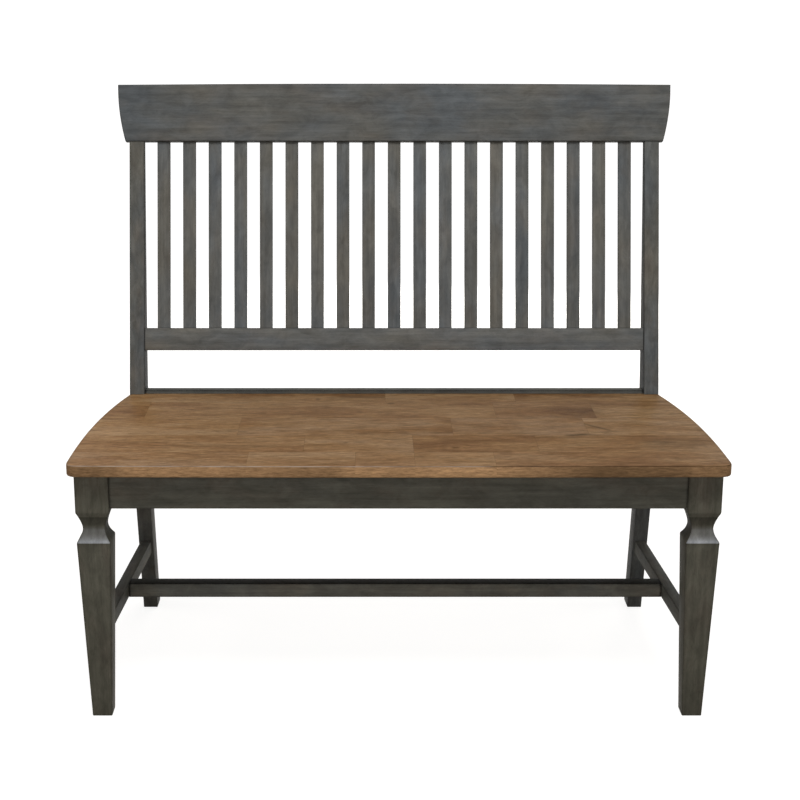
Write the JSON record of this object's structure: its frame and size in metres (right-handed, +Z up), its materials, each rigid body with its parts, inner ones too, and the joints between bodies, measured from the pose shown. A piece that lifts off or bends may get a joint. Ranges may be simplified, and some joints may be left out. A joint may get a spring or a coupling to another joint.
{
  "type": "slat-back bench",
  "caption": "Wooden bench with a raked slat back, a broad panel seat, tapered front legs with a cove neck, and low stretchers.",
  "frame": {"origin": "on the floor, under the middle of the bench's overall box", "axes": "+X along the bench, to the right as seen from the front; +Y from the front to the back; +Z up"},
  "size_m": [1.0706, 0.6157, 1.016],
  "materials": {
    "seat_wood": "satin brown stain on edge-glued staves",
    "frame_wood": "satin charcoal stain, grain showing",
    "screw_steel": "zinc-plated"
  },
  "bodies": {
    "root": {"seat": "seat_wood", "front_leg_left": "frame_wood", "front_leg_right": "frame_wood", "rear_leg_left": "frame_wood", "rear_leg_right": "frame_wood", "crest_rail": "frame_wood", "lower_back_rail": "frame_wood", "slat_01": "frame_wood", "slat_02": "frame_wood", "slat_03": "frame_wood", "slat_04": "frame_wood", "slat_05": "frame_wood", "slat_06": "frame_wood", "slat_07": "frame_wood", "slat_08": "frame_wood", "slat_09": "frame_wood", "slat_10": "frame_wood", "slat_11": "frame_wood", "slat_12": "frame_wood", "slat_13": "frame_wood", "slat_14": "frame_wood", "slat_15": "frame_wood", "slat_16": "frame_wood", "slat_17": "frame_wood", "slat_18": "frame_wood", "slat_19": "frame_wood", "rear_seat_rail": "frame_wood", "front_apron": "frame_wood", "side_apron_left": "frame_wood", "side_apron_right": "frame_wood", "side_stretcher_left": "frame_wood", "side_stretcher_right": "frame_wood", "centre_stretcher": "frame_wood", "corner_block_front_left": "frame_wood", "corner_block_front_right": "frame_wood", "corner_block_rear_left": "frame_wood", "corner_block_rear_right": "frame_wood", "block_screw_1": "screw_steel", "block_screw_2": "screw_steel", "block_screw_3": "screw_steel", "block_screw_4": "screw_steel", "block_screw_5": "screw_steel", "block_screw_6": "screw_steel", "block_screw_7": "screw_steel", "block_screw_8": "screw_steel", "seat_screw_1": "screw_steel", "seat_screw_2": "screw_steel", "seat_screw_3": "screw_steel", "seat_screw_4": "screw_steel"}
  },
  "joints": []
}
